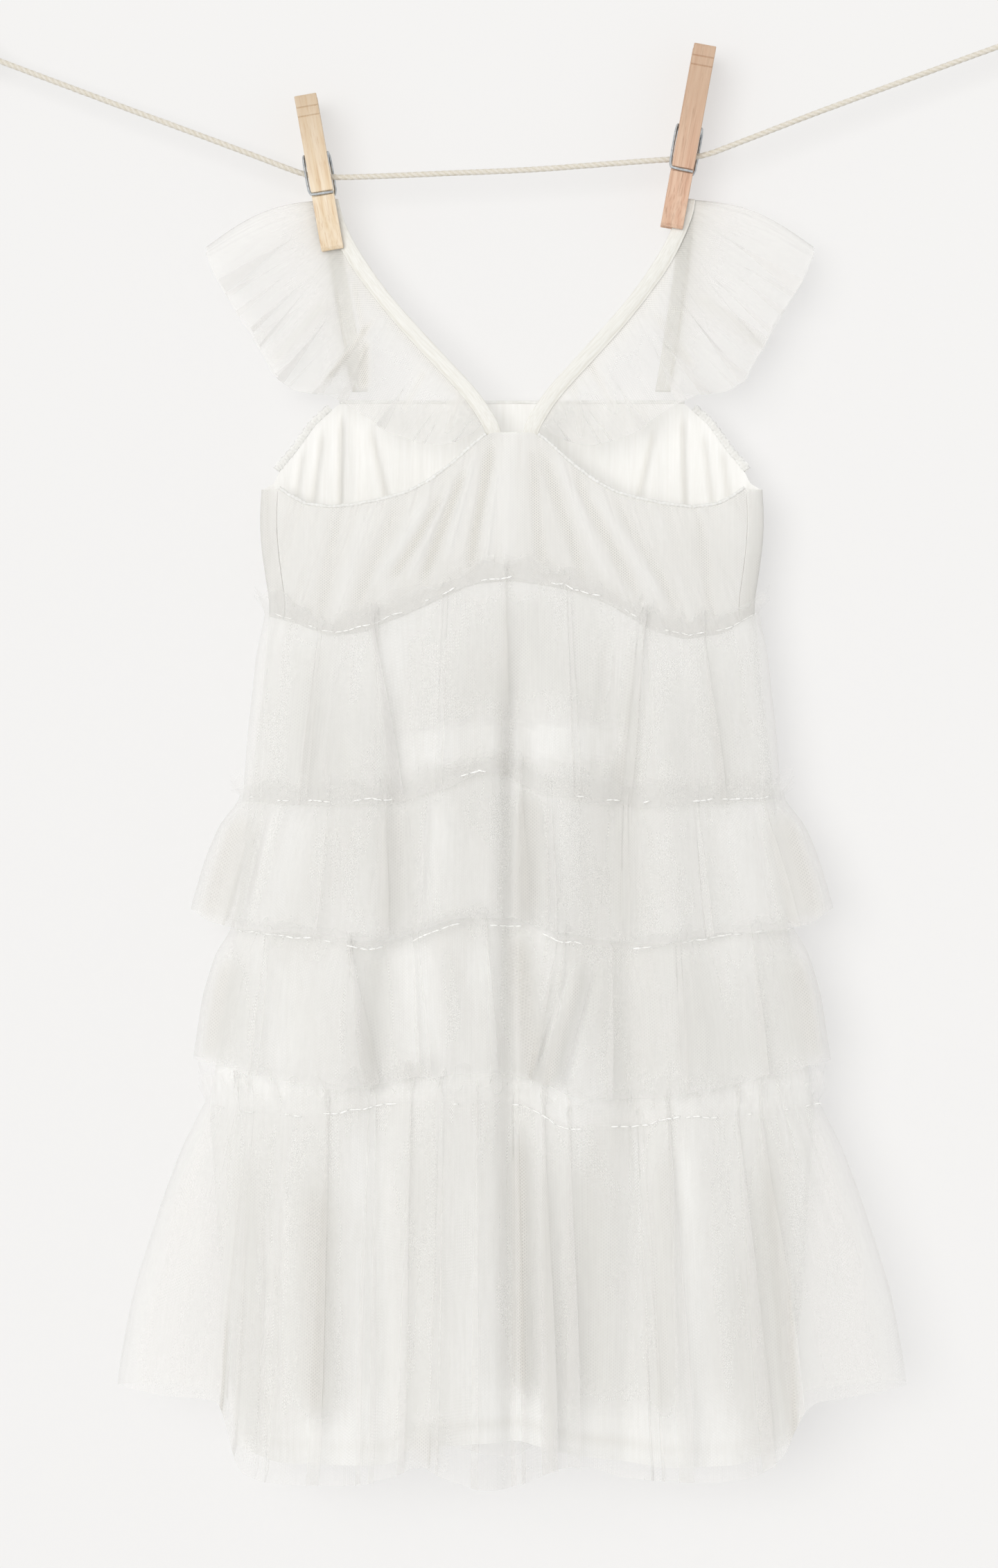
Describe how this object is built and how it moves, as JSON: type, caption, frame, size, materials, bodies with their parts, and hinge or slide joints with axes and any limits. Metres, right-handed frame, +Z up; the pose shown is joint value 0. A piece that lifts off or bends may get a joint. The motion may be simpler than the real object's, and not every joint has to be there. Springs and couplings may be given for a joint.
{
  "type": "tiered tulle dress pegged on a clothesline",
  "caption": "Toddler's tulle dress with flutter ruffles, a gathered bodice and free-hemmed tiers over a slip, hung by both shoulders from wooden spring pegs on a taut cotton line.",
  "frame": {"origin": "middle of the clothesline's stretch between the two pegs, on its centre line", "axes": "+Z up, the dress hanging down from the line; -Y is the front of the dress; +X to the right as seen from the front"},
  "size_m": [0.5151, 0.0867, 0.6758],
  "materials": {
    "tulle": "soft ivory nylon net, doubled, slightly sheer",
    "lining_cotton": "matt off-white woven cotton voile, opaque",
    "binding_satin": "ivory bias binding with a faint sheen",
    "birch": "bare birch, light and straight grained",
    "beech": "bare beech, pinkish with short flecks",
    "spring_wire": "drawn galvanised wire",
    "cotton_line": "unbleached twisted cotton cord"
  },
  "bodies": {
    "root": {"armhole_elastic_left": "tulle", "armhole_elastic_right": "tulle", "armhole_piping_left": "binding_satin", "armhole_piping_right": "binding_satin", "back_bodice": "tulle", "back_neck_binding": "binding_satin", "flutter_ruffle_left": "tulle", "flutter_ruffle_right": "tulle", "front_bodice": "tulle", "line_knot_left": "cotton_line", "line_knot_right": "cotton_line", "line_left": "cotton_line", "line_loop_left": "cotton_line", "line_loop_right": "cotton_line", "line_middle": "cotton_line", "line_right": "cotton_line", "lining_back": "lining_cotton", "lining_front": "lining_cotton", "peg_left_back_leg": "birch", "peg_left_front_leg": "birch", "peg_left_spring": "spring_wire", "peg_right_back_leg": "beech", "peg_right_front_leg": "beech", "peg_right_spring": "spring_wire", "strap_left": "binding_satin", "strap_right": "binding_satin", "tier_1_back": "tulle", "tier_1_front": "tulle", "tier_2_back": "tulle", "tier_2_front": "tulle", "tier_3_back": "tulle", "tier_3_front": "tulle", "tier_4_back": "tulle", "tier_4_front": "tulle"}
  },
  "joints": []
}
